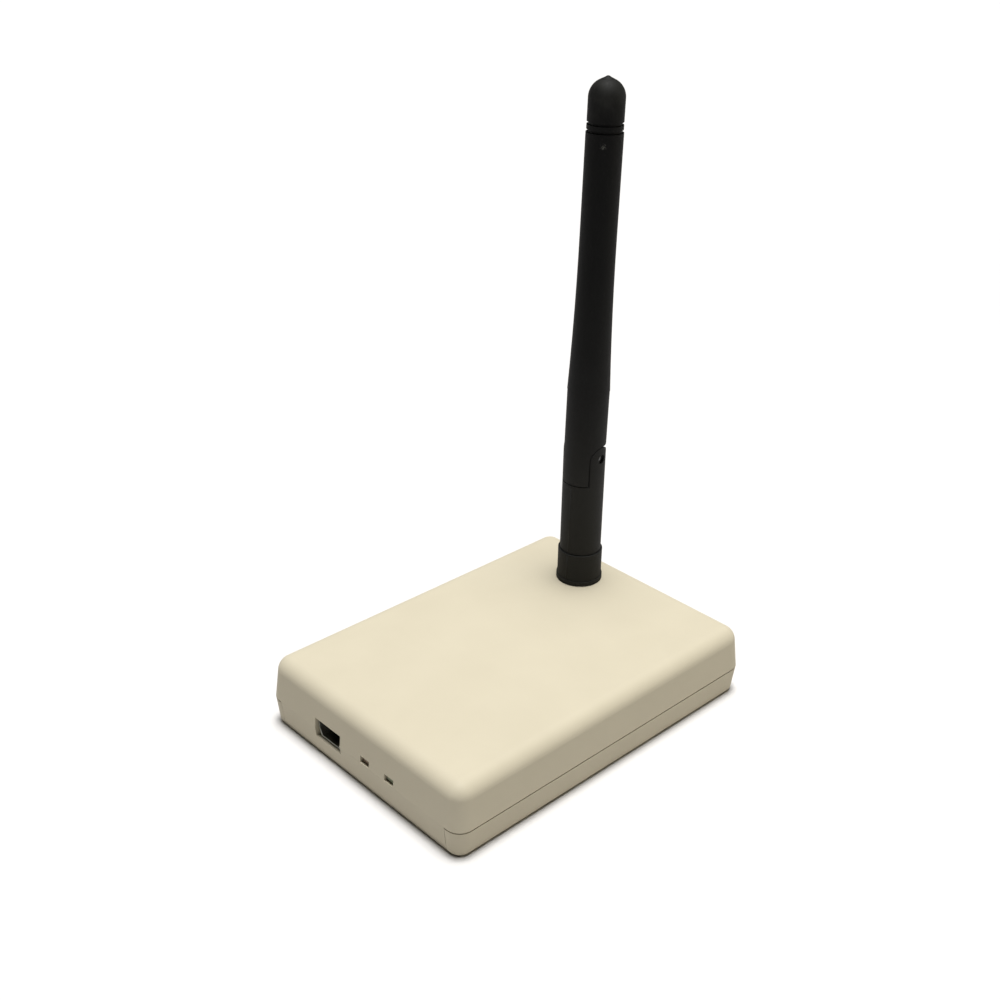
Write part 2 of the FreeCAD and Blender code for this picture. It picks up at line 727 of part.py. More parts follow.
def make_lights():
    """Two flat-faced lights that reach from black holders into their windows."""
    holders = []
    for name, offset in (("red_light", "red_light_offset"), ("green_light", "green_light_offset")):
        bottom = "light_height - light_thickness / 2"
        middle = f"({LIGHT_FRONT} + light_length / 2)"
        piece(block(name, "light_length", "light_width", "light_thickness", middle, offset, bottom), name)
        holder = block(name + "_holder", "light_holder_depth", "light_holder_width",
                       "light_holder_height", f"({HOLDER_FRONT} + light_holder_depth / 2)", offset,
                       BOARD_TOP)
        seat = block(name + "_seat", "light_length + thread_gap", "light_width + 2 * thread_gap",
                     "light_thickness + 2 * thread_gap", middle, offset, f"{bottom} - thread_gap")
        holders.append(remove(name + "_frame", holder, seat))
    piece(group("light_holders", holders), "light_holders")


def make_usb_chip():
    """A flat package with straight leads on its two long sides."""
    along, across = "(-case_length / 2 + usb_chip_end_distance)", "usb_chip_across"
    parts = [block("usb_chip_package", "usb_chip_length", "usb_chip_width", "chip_thickness",
                   along, across, f"{BOARD_TOP} + chip_standoff")]
    for index in range(CHIP_LEADS_A_SIDE):
        step = f"({index} - ({CHIP_LEADS_A_SIDE} - 1) / 2) * usb_chip_lead_pitch"
        parts.append(block(f"usb_chip_leads_{index}", "lead_width", "usb_chip_width + 2 * lead_reach",
                           "lead_thickness", f"{along} + {step}", across, BOARD_TOP))
    piece(join("usb_chip", parts), "usb_chip")


def make_microcontroller():
    """A leadless square package with its first corner cut."""
    body = new_body("microcontroller")
    place(body, "microcontroller_along", MICROCONTROLLER_ACROSS, BOARD_TOP)
    outline = new_sketch(body, "PackageOutline")
    half = "microcontroller_width / 2"
    draw_outline(outline, [
        (f"-{half}", f"-{half}"),
        (half, f"-{half}"),
        (half, half),
        (f"-{half} + microcontroller_corner", half),
        (f"-{half}", f"{half} - microcontroller_corner"),
    ])
    pad(body, outline, "chip_thickness")
    piece(body, "microcontroller")


def make_board_parts():
    make_microcontroller()
    make_usb_chip()

    shield_along, shield_across = f"{ANTENNA_ALONG} - shield_distance", ANTENNA_ACROSS
    radio = block("radio_chip", "radio_chip_width", "radio_chip_width", "radio_chip_thickness",
                  shield_along, shield_across, BOARD_TOP)
    piece(radio, "radio_chip")
    outside = block("shield_outside", "shield_length", "shield_width", "shield_height",
                    shield_along, shield_across, BOARD_TOP)
    inside = block("shield_inside", "shield_length - 2 * shield_sheet",
                   "shield_width - 2 * shield_sheet", "shield_height - shield_sheet",
                   shield_along, shield_across, BOARD_TOP)
    piece(remove("radio_shield", outside, inside), "radio_shield")

    crystal_along, crystal_across = "microcontroller_along + crystal_distance", MICROCONTROLLER_ACROSS
    base = block("crystal_base", "crystal_length", "crystal_width",
                 "crystal_height - crystal_lid_height", crystal_along, crystal_across, BOARD_TOP)
    lid = block("crystal_lid", "crystal_length - 2 * crystal_lid_inset",
                "crystal_width - 2 * crystal_lid_inset", "crystal_height", crystal_along,
                crystal_across, BOARD_TOP)
    piece(join("crystal", [base, lid]), "crystal")

    regulator_along = "-case_length / 2 + regulator_end_distance"
    regulator = block("regulator_case", "regulator_width", "regulator_length", "regulator_height",
                      regulator_along, REGULATOR_ACROSS, BOARD_TOP)
    tab = block("regulator_tab", "regulator_width + 2 * lead_reach", "regulator_tab_width",
                "lead_thickness", regulator_along, REGULATOR_ACROSS, BOARD_TOP)
    piece(join("voltage_regulator", [regulator, tab]), "voltage_regulator")

    capacitors = []
    for index, sign in enumerate("+-"):
        capacitors.append(block(f"capacitor_{index}", "capacitor_width", "capacitor_length",
                                "capacitor_height", f"{regulator_along} {sign} capacitor_spacing / 2",
                                f"{REGULATOR_ACROSS} - capacitor_distance", BOARD_TOP))
    piece(group("filter_capacitors", capacitors), "filter_capacitors")


# Antenna connector


def stand_on_antenna_axis(body):
    return place(body, ANTENNA_ALONG, ANTENNA_ACROSS)


def make_jack():
    body = stand_on_antenna_axis(new_body("antenna_jack"))
    flange = new_sketch(body, "Flange", offset=BOARD_TOP)
    draw_rectangle(flange, "jack_flange_width", "jack_flange_width")
    pad(body, flange, "jack_flange_height")
    barrel = new_sketch(body, "Barrel", offset=f"{BOARD_TOP} + jack_flange_height / 2")
    draw_circles(barrel, "jack_barrel_diameter", [("0", "0")])
    pad(body, barrel, f"{JACK_TOP} - {BOARD_TOP} - jack_flange_height / 2")
    bore = new_sketch(body, "Bore", offset=BOARD_TOP)
    draw_circles(bore, "jack_bore_diameter", [("0", "0")])
    pocket(body, bore, JACK_TOP, reverse=True)
    piece(body, "antenna_jack")

    insulator = stand_on_antenna_axis(new_body("jack_insulator"))
    hole, outside = "(contact_diameter / 2 + thread_gap)", "(jack_bore_diameter / 2 - thread_gap)"
    turn(insulator, "InsulatorProfile", [
        (hole, BOARD_TOP), (outside, BOARD_TOP), (outside, JACK_TOP), (hole, JACK_TOP)])
    piece(insulator, "jack_insulator")

    contact = stand_on_antenna_axis(new_body("jack_contact"))
    radius, bore_radius = "contact_diameter / 2", "contact_bore_diameter / 2"
    turn(contact, "ContactProfile", [
        ("0", f"{BOARD_TOP} - contact_tail_length"),
        (radius, f"{BOARD_TOP} - contact_tail_length"),
        (radius, JACK_TOP),
        (bore_radius, JACK_TOP),
        (bore_radius, f"{JACK_TOP} - contact_bore_depth"),
        ("0", f"{JACK_TOP} - contact_bore_depth"),
    ])
    piece(contact, "jack_contact")


def make_coupling_nut():
    """The nut screws on the jack and hooks over the rim of the plug, which turns inside it. A plastic
    sleeve is moulded round the nut."""
    low = "(case_height + nut_seat_gap)"
    thread = "(jack_barrel_diameter / 2 + thread_gap)"
    neck = "(plug_diameter / 2 + turning_gap)"
    outside = "(nut_diameter / 2)"
    step = f"({PLUG_BOTTOM} + plug_rim_height + turning_gap)"
    nut = stand_on_antenna_axis(new_body("coupling_nut"))
    turn(nut, "NutProfile", [
        (thread, low), (outside, low), (outside, NUT_TOP), (neck, NUT_TOP), (neck, step), (thread, step)])
    piece(nut, "coupling_nut")

    sleeve = stand_on_antenna_axis(new_body("nut_sleeve"))
    inside = "(nut_diameter / 2 + thread_gap)"
    body_radius, lip_radius = "nut_sleeve_diameter / 2", "nut_lip_diameter / 2"
    turn(sleeve, "SleeveProfile", [
        (inside, low),
        (lip_radius, low),
        (lip_radius, "case_height + nut_lip_height"),
        (body_radius, "case_height + nut_lip_height"),
        (body_radius, SLEEVE_TOP),
        (inside, SLEEVE_TOP),
    ])
    piece(sleeve, "nut_sleeve")


def make_plug():
    """Plug of the antenna: a metal barrel pressed into the stub, with its rim held in the nut."""
    barrel, rim = "plug_diameter / 2", "plug_rim_diameter / 2"
    inside = "(jack_bore_diameter / 2)"
    plug = stand_on_antenna_axis(new_body("plug_body"))
    turn(plug, "PlugProfile", [
        (inside, PLUG_BOTTOM),
        (rim, PLUG_BOTTOM),
        (rim, f"{PLUG_BOTTOM} + plug_rim_height"),
        (barrel, f"{PLUG_BOTTOM} + plug_rim_height"),
        (barrel, PLUG_TOP),
        (inside, PLUG_TOP),
    ])
    piece(plug, "plug_body")

    insulator = stand_on_antenna_axis(new_body("plug_insulator"))
    hole, outside = "(plug_pin_diameter / 2 + thread_gap)", f"({inside} - thread_gap)"
    turn(insulator, "PlugInsulatorProfile", [
        (hole, PLUG_BOTTOM), (outside, PLUG_BOTTOM), (outside, PLUG_TOP), (hole, PLUG_TOP)])
    piece(insulator, "plug_insulator")

    pin = stand_on_antenna_axis(new_body("plug_pin"))
    radius = "plug_pin_diameter / 2"
    turn(pin, "PlugPinProfile", [
        ("0", f"{PLUG_BOTTOM} - plug_pin_reach"),
        (radius, f"{PLUG_BOTTOM} - plug_pin_reach"),
        (radius, PLUG_TOP),
        ("0", PLUG_TOP),
    ])
    piece(pin, "plug_pin")


# Antenna stub with the fork of the hinge. The fork's pin lies along the stub's own Y axis.


def turn_to_rest(body):
    stand_on_antenna_axis(body)
    body.Placement.Rotation = FreeCAD.Rotation(Vector(0, 0, 1), value("swivel_at_rest"))
    return body


def make_stub():
    body = turn_to_rest(new_body("antenna_stub"))
    radius = "stub_diameter / 2"
    turn(body, "StubProfile", [
        ("0", STUB_BOTTOM), (radius, STUB_BOTTOM), (radius, SHOULDER), ("0", SHOULDER)])

    ears = new_sketch(body, "Ears", "XZ_Plane")
    half = "ear_width / 2"
    draw_outline(ears, [
        (f"-{half}", f"{SHOULDER} - ear_root_depth"),
        (half, f"{SHOULDER} - ear_root_depth"),
        (half, HINGE, half, 1),
        ("0", f"{HINGE} + {half}", half, 1),
        (f"-{half}", HINGE),
    ])
    pad(body, ears, THROUGH_STUB, both_ways=True)
    trim = new_sketch(body, "EarTrim", offset=f"{SHOULDER} - ear_root_depth")
    draw_circles(trim, "stub_diameter", [("0", "0")])
    draw_circles(trim, "4 * stub_diameter", [("0", "0")])
    pocket(body, trim, "2 * hinge_height", reverse=True)

    slot = new_sketch(body, "TongueSlot", "YZ_Plane")
    draw_rectangle(slot, SLOT_WIDTH, "hinge_height", up=f"{SHOULDER} + hinge_height / 2")
    pocket(body, slot, THROUGH_STUB, both_ways=True)
    pin_hole = new_sketch(body, "PinHole", "XZ_Plane")
    draw_circles(pin_hole, "hinge_pin_diameter + 2 * thread_gap", [("0", HINGE)])
    pocket(body, pin_hole, THROUGH_STUB, both_ways=True)

    plug_seat = new_sketch(body, "PlugSeat", offset=STUB_BOTTOM)
    draw_circles(plug_seat, "plug_diameter + 2 * thread_gap", [("0", "0")])
    pocket(body, plug_seat, f"{PLUG_TOP} - {STUB_BOTTOM} + fit_gap", reverse=True)
    lead_hole = new_sketch(body, "LeadHole", offset=STUB_BOTTOM)
    draw_circles(lead_hole, "lead_hole_diameter", [("0", "0")])
    pocket(body, lead_hole, "hinge_height", reverse=True)
    piece(body, "antenna_stub")

    lead = stand_on_antenna_axis(new_body("stub_lead"))
    run = new_sketch(lead, "StubLead", offset=PLUG_TOP)
    draw_circles(run, "lead_diameter", [("0", "0")])
    pad(lead, run, f"{SHOULDER} - {PLUG_TOP}")
    piece(lead, "stub_lead")


def make_hinge_pin():
    body = turn_to_rest(new_body("hinge_pin"))
    section = new_sketch(body, "PinSection", "XZ_Plane")
    draw_circles(section, "hinge_pin_diameter", [("0", HINGE)])
    pad(body, section, "hinge_pin_length", both_ways=True)
    piece(body, "hinge_pin")


# Folding part of the antenna. Its bodies have their own origin on the hinge axis, with Z along the
# tube, so that one placement swivels and leans them all.

RISE = "hinge_height"


def lean_from_hinge(body):
    place(body, ANTENNA_ALONG, ANTENNA_ACROSS, HINGE)
    swivel = FreeCAD.Rotation(Vector(0, 0, 1), value("swivel_at_rest"))
    lean = FreeCAD.Rotation(Vector(0, 1, 0), value("lean_at_rest"))
    body.Placement.Rotation = swivel.multiply(lean)
    return body


def make_knuckle():
    body = lean_from_hinge(new_body("antenna_knuckle"))
    radius = "knuckle_diameter / 2"
    spigot = "(tube_bore_diameter / 2 - spigot_gap)"
    heel = f"(heel_gap - {TONGUE_DROP})"
    turn(body, "KnuckleProfile", [
        ("0", heel),
        (radius, heel),
        (radius, f"knuckle_top - {RISE}"),
        (spigot, f"knuckle_top - {RISE}"),
        (spigot, f"knuckle_top - {RISE} + knuckle_spigot_length"),
        ("0", f"knuckle_top - {RISE} + knuckle_spigot_length"),
    ])

    # front of the tongue is rounded about the pin, so that it clears the fork as it folds
    toe = new_sketch(body, "RoundToe", "XZ_Plane")
    toe_radius = f"({TONGUE_DROP} - tongue_toe_gap)"
    draw_outline(toe, [
        ("0", f"-2 * {TONGUE_DROP}"),
        ("knuckle_diameter", f"-2 * {TONGUE_DROP}"),
        ("knuckle_diameter", "0"),
        (toe_radius, "0", toe_radius, -1),
        ("0", f"-{toe_radius}"),
    ])
    pocket(body, toe, THROUGH_KNUCKLE, both_ways=True)

    # cheeks beside the tongue are cut away where the fork's ears stand and swing
    cheeks = new_sketch(body, "EarSweep", "XZ_Plane")
    reach = "(ear_width / 2 + ear_gap)"
    draw_outline(cheeks, [
        (f"-{reach}", f"-2 * {TONGUE_DROP}"),
        ("knuckle_diameter", f"-2 * {TONGUE_DROP}"),
        ("knuckle_diameter", reach),
        ("0", reach, reach, 1),
        (f"-{reach}", "0"),
    ])
    pocket(body, cheeks, THROUGH_KNUCKLE, both_ways=True)
    tongue = new_sketch(body, "Tongue", "XZ_Plane")
    draw_outline(tongue, [
        (f"-{radius}", heel),
        ("0", heel),
        ("0", f"-{toe_radius}", toe_radius, 1),
        (toe_radius, "0"),
        (radius, "0"),
        (radius, reach),
        (f"-{radius}", reach),
    ])
    pad(body, tongue, "tongue_thickness", both_ways=True)
    round_off = new_sketch(body, "TongueTrim", offset=f"-2 * {TONGUE_DROP}")
    draw_circles(round_off, "knuckle_diameter", [("0", "0")])
    draw_circles(round_off, "4 * knuckle_diameter", [("0", "0")])
    pocket(body, round_off, "3 * hinge_height", reverse=True)

    bore = new_sketch(body, "PinBore", "XZ_Plane")
    draw_circles(bore, "hinge_pin_diameter + 2 * turning_gap", [("0", "0")])
    pocket(body, bore, THROUGH_KNUCKLE, both_ways=True)
    channel = new_sketch(body, "LeadChannel", offset="hinge_pin_diameter")
    draw_circles(channel, "lead_hole_diameter", [("0", "0")])
    pocket(body, channel, "knuckle_top", reverse=True)
    piece(body, "antenna_knuckle")


def make_tube():
    """Sheath that flares towards the knuckle."""
    body = lean_from_hinge(new_body("antenna_tube"))
    foot, shaft, bore = "tube_foot_diameter / 2", "tube_diameter / 2", "tube_bore_diameter / 2"
    low, flare, high = f"knuckle_top - {RISE}", f"flare_top - {RISE}", f"tube_top - {RISE}"
    rise, spread = "(flare_top - knuckle_top)", f"({foot} - {shaft})"
    flare_radius = f"(({rise} * {rise} + {spread} * {spread}) / (2 * {spread}))"
    turn(body, "TubeProfile", [
        (bore, low), (foot, low, flare_radius, -1), (shaft, flare), (shaft, high), (bore, high)])
    piece(body, "antenna_tube")


def make_cap():
    """Domed end plug with two grooves."""
    body = lean_from_hinge(new_body("antenna_cap"))
    radius = "cap_diameter / 2"
    sunk = f"({radius} - cap_groove_depth)"
    spigot = "(tube_bore_diameter / 2 - spigot_gap)"
    low = f"tube_top - {RISE}"
    ring_low = f"{low} + cap_groove_width"
    ring_high = f"{ring_low} + cap_ring_width"
    skirt = f"{ring_high} + cap_groove_width"
    dome = f"antenna_top - cap_dome_rise - {RISE}"
    dome_radius = f"(({radius} * {radius} + cap_dome_rise * cap_dome_rise) / (2 * cap_dome_rise))"
    turn(body, "CapProfile", [
        ("0", f"{low} - cap_spigot_length"),
        (spigot, f"{low} - cap_spigot_length"),
        (spigot, low),
        (sunk, low),
        (sunk, ring_low),
        (radius, ring_low),
        (radius, ring_high),
        (sunk, ring_high),
        (sunk, skirt),
        (radius, skirt),
        (radius, dome, dome_radius, 1),
        ("0", f"antenna_top - {RISE}"),
    ])
    piece(body, "antenna_cap")


def make_radiator():
    """The lead in the folding part, and the close-wound radiator that stands on its end."""
    lead_top = f"(knuckle_top - {RISE} + knuckle_spigot_length + fit_gap)"
    lead = lean_from_hinge(new_body("blade_lead"))
    run = new_sketch(lead, "BladeLead", offset="hinge_pin_diameter")
    draw_circles(run, "lead_diameter", [("0", "0")])
    pad(lead, run, f"{lead_top} - hinge_pin_diameter")
    piece(lead, "blade_lead")

    coil = lean_from_hinge(new_body("radiator_coil"))
    outside, bore = "radiator_diameter / 2", "radiator_bore_diameter / 2"
    low = f"{lead_top} + fit_gap"
    high = f"(tube_top - {RISE} - cap_spigot_length - fit_gap)"
    turn(coil, "CoilProfile", [(bore, low), (outside, low), (outside, high), (bore, high)])
    piece(coil, "radiator_coil")


make_top_cover()
make_bottom_cover()
make_cover_screws()
make_circuit_board()
make_usb_socket()
make_lights()
make_board_parts()
make_jack()
make_coupling_nut()
make_plug()
make_stub()
make_hinge_pin()
make_knuckle()
make_tube()
make_cap()
make_radiator()
doc.recompute()

for item in doc.Objects:
    if "Invalid" in item.State or "Error" in item.State:
        raise RuntimeError(f"{item.Label} failed: {item.State}")
for item in PIECES:
    if item.Shape.isNull() or not item.Shape.isValid():
        raise RuntimeError(f"{item.Label} has no valid shape")

os.makedirs("parts", exist_ok=True)
for item in PIECES:
    item.Shape.exportStep(f"parts/{item.Label}.step")
    print(item.Label, len(item.Shape.Solids), round(item.Shape.Volume, 2))
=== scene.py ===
"""Looks of a small radio transceiver in a cream plastic case with a black folding antenna.

Everything is in metres in the CAD frame: the case lies on z = 0, +X runs away from the socket
end and +Z is up. The sizes of patterns and of small pieces are given in millimetres, which MM
turns into metres.
"""

import json
import math

import bmesh
import bpy
from mathutils import Matrix, Vector


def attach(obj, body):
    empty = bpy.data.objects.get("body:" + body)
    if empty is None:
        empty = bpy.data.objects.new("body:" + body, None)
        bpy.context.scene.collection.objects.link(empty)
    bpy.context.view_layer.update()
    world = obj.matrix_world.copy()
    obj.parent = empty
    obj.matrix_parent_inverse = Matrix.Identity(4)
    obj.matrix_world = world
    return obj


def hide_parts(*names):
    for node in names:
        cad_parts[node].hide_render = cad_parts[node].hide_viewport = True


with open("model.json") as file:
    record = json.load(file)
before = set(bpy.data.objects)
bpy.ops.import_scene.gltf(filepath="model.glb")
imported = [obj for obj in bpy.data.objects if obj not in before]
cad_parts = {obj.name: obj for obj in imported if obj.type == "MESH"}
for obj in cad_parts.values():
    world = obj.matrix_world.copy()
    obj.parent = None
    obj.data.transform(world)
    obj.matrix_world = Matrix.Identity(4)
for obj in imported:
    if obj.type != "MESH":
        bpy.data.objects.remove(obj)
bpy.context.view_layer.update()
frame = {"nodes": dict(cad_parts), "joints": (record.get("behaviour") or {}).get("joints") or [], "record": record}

MM = 0.001

# The antenna at rest: the place of its hinge pin, the foot of its upright axis, how far the
# hinge is turned about that axis and how far the folding part leans
TILT = {joint["name"]: joint for joint in frame["joints"]}["antenna_tilt"]
HINGE = Vector(TILT["pos_m"])
AXIS_FOOT = Vector((HINGE.x, HINGE.y, 0))
SWIVEL_AT_REST = math.atan2(-TILT["axis"][0], TILT["axis"][1])
LEAN_AT_REST = math.radians(-TILT["range_deg"][0])

# Rest pose of the folding part: origin on the hinge pin, Z along the tube
FOLDING = (
    Matrix.Translation(HINGE)
    @ Matrix.Rotation(SWIVEL_AT_REST, 4, "Z")
    @ Matrix.Rotation(LEAN_AT_REST, 4, "Y")
)

# Tones of the antenna's plastic at heights above the ground, a painted light: lighter at the foot
# and on the tip, with painted shade darkening the upper tube. Also how far they wander up and
# down with the clouds, and its fine grain, drawn coarser than the real one so that it shows
ANTENNA_TOP = 127.1
ANTENNA_PAINTED_LIGHT_TONES = [
    (16.0, "262624"), (40.0, "232322"), (56.0, "171717"), (70.0, "0f0f0f"),
    (88.0, "070707"), (118.0, "040404"), (121.5, "0c0c0b"), (125.0, "1e1e1c"),
]
ANTENNA_CLOUD, TONE_WANDER = 6.0, 2.5
ANTENNA_GRAIN, ANTENNA_GRAIN_DEPTH = 0.3, 0.006
ANTENNA_ROUGHNESS, ANTENNA_SPECULAR = (0.6, 0.72), 0.13

# A little scuff on the tube, below its end plug
SCUFF_PLACE, SCUFF_SIZE = (29.06, 7.03, 114.45), 0.55
SCUFF_TONE, SCUFF_STRENGTH = "5a5a56", 0.6

# Size of the clouds in moulded plastic, and how far its roughness wanders about the middle
CLOUD = 14.0
ROUGHNESS_WANDER = 0.06

# Streaks in plated and drawn metal: their shape, their height, and what they add to roughness
STREAK_STRETCH, STREAK_SCALE = (0.4, 4.0, 1.0), 3.0
STREAK_DEPTH, STREAK_STRENGTH = 0.01, 0.3
STREAK_ROUGHNESS = 0.12

# Nearly all of a noise texture lies in this range
NOISE_RANGE = {"From Min": 0.3, "From Max": 0.7}

# Sockets that a colour mix only tells apart by number
MIX_SHARE, MIX_FIRST, MIX_SECOND, MIX_RESULT = 0, 6, 7, 2


# Small helpers for node trees


def linear(code):
    """A colour code such as "ece4cc" as linear red, green, blue and alpha."""
    channels = [int(code[i:i + 2], 16) / 255 for i in (0, 2, 4)]
    return [
        c / 12.92 if c <= 0.04045 else ((c + 0.055) / 1.055) ** 2.4 for c in channels
    ] + [1.0]


def add(tree, kind, inputs=None, **settings):
    """A new node. inputs maps its sockets, by name or number, to a value or an output."""
    made = tree.nodes.new(kind)
    for name, setting in settings.items():
        setattr(made, name, setting)
    for socket, source in (inputs or {}).items():
        if isinstance(source, bpy.types.NodeSocket):
            tree.links.new(source, made.inputs[socket])
        else:
            made.inputs[socket].default_value = source
    return made


def new_material(name):
    """An empty node material, with its tree and object coordinates in millimetres."""
    material = bpy.data.materials.new(name)
    material.use_nodes = True
    tree = material.node_tree
    tree.nodes.clear()
    metres = add(tree, "ShaderNodeTexCoord").outputs["Object"]
    place = add(
        tree, "ShaderNodeMapping", {"Vector": metres, "Scale": (1 / MM, 1 / MM, 1 / MM)}
    ).outputs["Vector"]
    return material, tree, place


def finish_material(tree, inputs):
    """The principled shader with these inputs, joined to the material's output."""
    shader = add(tree, "ShaderNodeBsdfPrincipled", inputs)
    add(tree, "ShaderNodeOutputMaterial", {"Surface": shader.outputs["BSDF"]})


# Kinds of finish


def moulded(name, light, dark, roughness, grain, depth, specular=0.5):
    """Moulded plastic: a grain of that size and depth, and clouds of a second tone."""
    material, tree, place = new_material(name)
    clouds = add(
        tree,
        "ShaderNodeTexNoise",
        {"Vector": place, "Scale": 1 / CLOUD, "Detail": 3.0, "Roughness": 0.55},
    ).outputs["Fac"]
    share = add(
        tree,
        "ShaderNodeMapRange",
        {"Value": clouds, **NOISE_RANGE, "To Min": 0.0, "To Max": 1.0},
    ).outputs["Result"]
    colour = add(
        tree,
        "ShaderNodeMix",
        {MIX_SHARE: share, MIX_FIRST: linear(light), MIX_SECOND: linear(dark)},
        data_type="RGBA",
    ).outputs[MIX_RESULT]
    fine = add(
        tree,
        "ShaderNodeTexNoise",
        {"Vector": place, "Scale": 1 / grain, "Detail": 2.0, "Roughness": 0.6},
    ).outputs["Fac"]
    dullness = add(
        tree,
        "ShaderNodeMapRange",
        {
            "Value": fine,
            **NOISE_RANGE,
            "To Min": roughness - ROUGHNESS_WANDER,
            "To Max": roughness + ROUGHNESS_WANDER,
        },
    ).outputs["Result"]
    relief = add(
        tree,
        "ShaderNodeBump",
        {"Height": fine, "Strength": 1.0, "Distance": depth * MM},
    ).outputs["Normal"]
    finish_material(
        tree,
        {
            "Base Color": colour,
            "Roughness": dullness,
            "Specular IOR Level": specular,
            "Normal": relief,
        },
    )
    return material


def metal(name, colour, roughness):
    """Plated or drawn metal: fine streaks in its roughness and a little in its height."""
    material, tree, place = new_material(name)
    stretched = add(
        tree, "ShaderNodeMapping", {"Vector": place, "Scale": STREAK_STRETCH}
    ).outputs["Vector"]
    streaks = add(
        tree,
        "ShaderNodeTexNoise",
        {"Vector": stretched, "Scale": STREAK_SCALE, "Detail": 4.0, "Roughness": 0.6},
    ).outputs["Fac"]
    dullness = add(
        tree,
        "ShaderNodeMapRange",
        {
            "Value": streaks,
            **NOISE_RANGE,
            "To Min": roughness,
            "To Max": roughness + STREAK_ROUGHNESS,
        },
    ).outputs["Result"]
    relief = add(
        tree,
        "ShaderNodeBump",
        {"Height": streaks, "Strength": STREAK_STRENGTH, "Distance": STREAK_DEPTH * MM},
    ).outputs["Normal"]
    finish_material(
        tree,
        {
            "Base Color": linear(colour),
            "Metallic": 1.0,
            "Roughness": dullness,
            "Normal": relief,
        },
    )
    return material


def antenna_black():
    """Dull black thermoplastic, painted lighter at its foot and tip and darker up the tube, as light and shade
    fall there.
    """
    material, tree, place = new_material("black_moulded_antenna")

    # The painted light and shade at each height, with clouds that move its bounds up and down
    height = add(tree, "ShaderNodeSeparateXYZ", {"Vector": place}).outputs["Z"]
    clouds = add(
        tree,
        "ShaderNodeTexNoise",
        {"Vector": place, "Scale": 1 / ANTENNA_CLOUD, "Detail": 3.0, "Roughness": 0.6},
    ).outputs["Fac"]
    wander = add(
        tree,
        "ShaderNodeMapRange",
        {"Value": clouds, **NOISE_RANGE, "To Min": -TONE_WANDER, "To Max": TONE_WANDER},
    ).outputs["Result"]
    uneven = add(
        tree, "ShaderNodeMath", {0: height, 1: wander}, operation="ADD"
    ).outputs["Value"]
    share = add(
        tree,
        "ShaderNodeMapRange",
        {"Value": uneven, "From Min": 0.0, "From Max": ANTENNA_TOP},
    ).outputs["Result"]
    # Painted light: these tones are lighter at the foot and tip and darker up the tube, standing in for how light
    # falls
    ramp = add(tree, "ShaderNodeValToRGB", {"Fac": share})
    stops = ramp.color_ramp.elements
    while len(stops) < len(ANTENNA_PAINTED_LIGHT_TONES):
        stops.new(1.0)
    for stop, (at, tone) in zip(stops, ANTENNA_PAINTED_LIGHT_TONES):
        stop.position = at / ANTENNA_TOP
        stop.color = linear(tone)

    fine = add(
        tree,
        "ShaderNodeTexNoise",
        {"Vector": place, "Scale": 1 / ANTENNA_GRAIN, "Detail": 2.0, "Roughness": 0.6},
    ).outputs["Fac"]
    dullness = add(
        tree,
        "ShaderNodeMapRange",
        {
            "Value": fine,
            **NOISE_RANGE,
            "To Min": ANTENNA_ROUGHNESS[0],
            "To Max": ANTENNA_ROUGHNESS[1],
        },
    ).outputs["Result"]
    relief = add(
        tree,
        "ShaderNodeBump",
        {"Height": fine, "Strength": 1.0, "Distance": ANTENNA_GRAIN_DEPTH * MM},
    ).outputs["Normal"]

    # The scuff, a small round place with a ragged edge
    away = add(
        tree, "ShaderNodeVectorMath", {0: place, 1: SCUFF_PLACE}, operation="DISTANCE"
    ).outputs["Value"]
    ragged = add(
        tree,
        "ShaderNodeMapRange",
        {"Value": fine, **NOISE_RANGE, "To Min": -SCUFF_SIZE, "To Max": SCUFF_SIZE},
    ).outputs["Result"]
    edge = add(tree, "ShaderNodeMath", {0: away, 1: ragged}, operation="ADD").outputs["Value"]
    rubbed = add(
        tree,
        "ShaderNodeMapRange",
        {
            "Value": edge,
            "From Min": 0.0,
            "From Max": SCUFF_SIZE,
            "To Min": SCUFF_STRENGTH,
            "To Max": 0.0,
        },
    ).outputs["Result"]
    colour = add(
        tree,
        "ShaderNodeMix",
        {
            MIX_SHARE: rubbed,
            MIX_FIRST: ramp.outputs["Color"],
            MIX_SECOND: linear(SCUFF_TONE),
        },
        data_type="RGBA",
    ).outputs[MIX_RESULT]
    finish_material(
        tree,
        {
            "Base Color": colour,
            "Roughness": dullness,
            "Specular IOR Level": ANTENNA_SPECULAR,
            "Normal": relief,
        },
    )
    return material


# Materials, one for each real finish. A plastic is given by its light and dark tone, roughness,
# grain size and grain depth, and a metal by its colour and roughness

